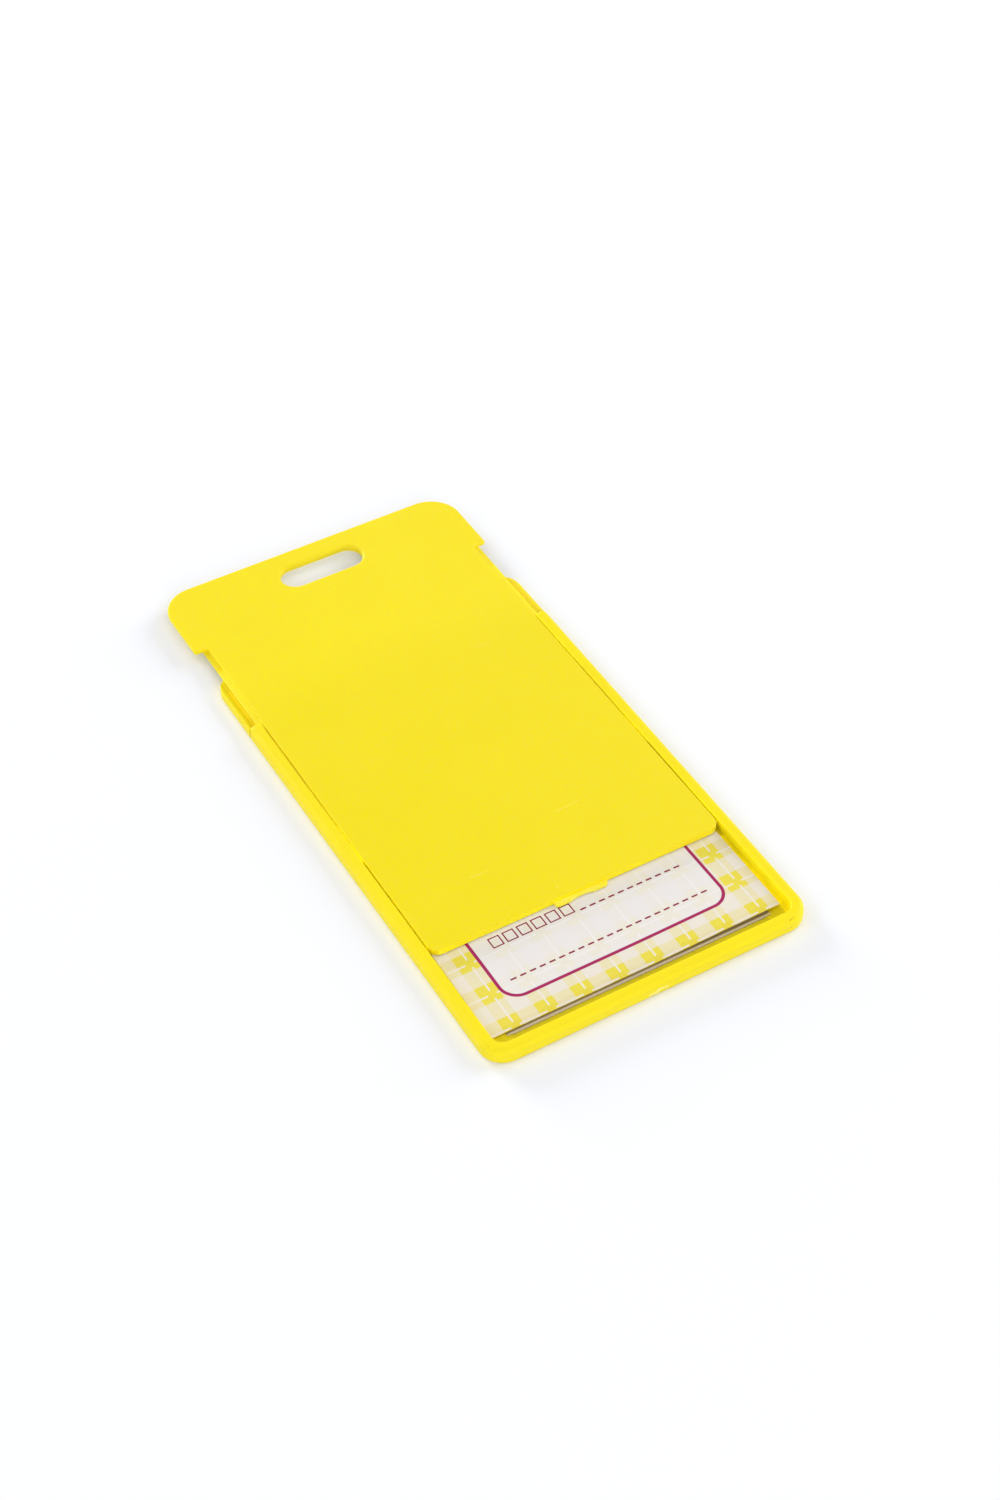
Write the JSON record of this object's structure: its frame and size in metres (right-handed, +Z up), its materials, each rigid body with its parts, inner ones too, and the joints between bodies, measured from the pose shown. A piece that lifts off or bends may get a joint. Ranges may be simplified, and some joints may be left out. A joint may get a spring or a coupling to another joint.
{
  "type": "luggage tag",
  "caption": "Flat luggage tag: a windowed tray holds an address card and a clear film under a sliding cover with a strap slot and a latch tab.",
  "frame": {"origin": "under the middle of the tag's length and width as it stands partly open, on the surface that it lies on", "axes": "+X across the tag, +Y along it from the closed end to the strap slot, +Z up, out of the cover's face"},
  "size_m": [0.06, 0.1234, 0.003],
  "materials": {
    "yellow_plastic": "satin",
    "clear_film": "gloss",
    "printed_card": "matte"
  },
  "bodies": {
    "tray": {"tray": "yellow_plastic", "window_film": "clear_film"},
    "cover": {"sliding_cover": "yellow_plastic"},
    "card": {"address_card": "printed_card"}
  },
  "joints": [
    {"name": "cover_slide", "type": "slide", "parent": "tray", "child": "cover", "axis": [0, 1, 0], "range_m": [-0.0212, 0.037]},
    {"name": "card_slide", "type": "slide", "parent": "tray", "child": "card", "axis": [0, 1, 0], "range_m": [-0.0024, 0.0003]}
  ]
}
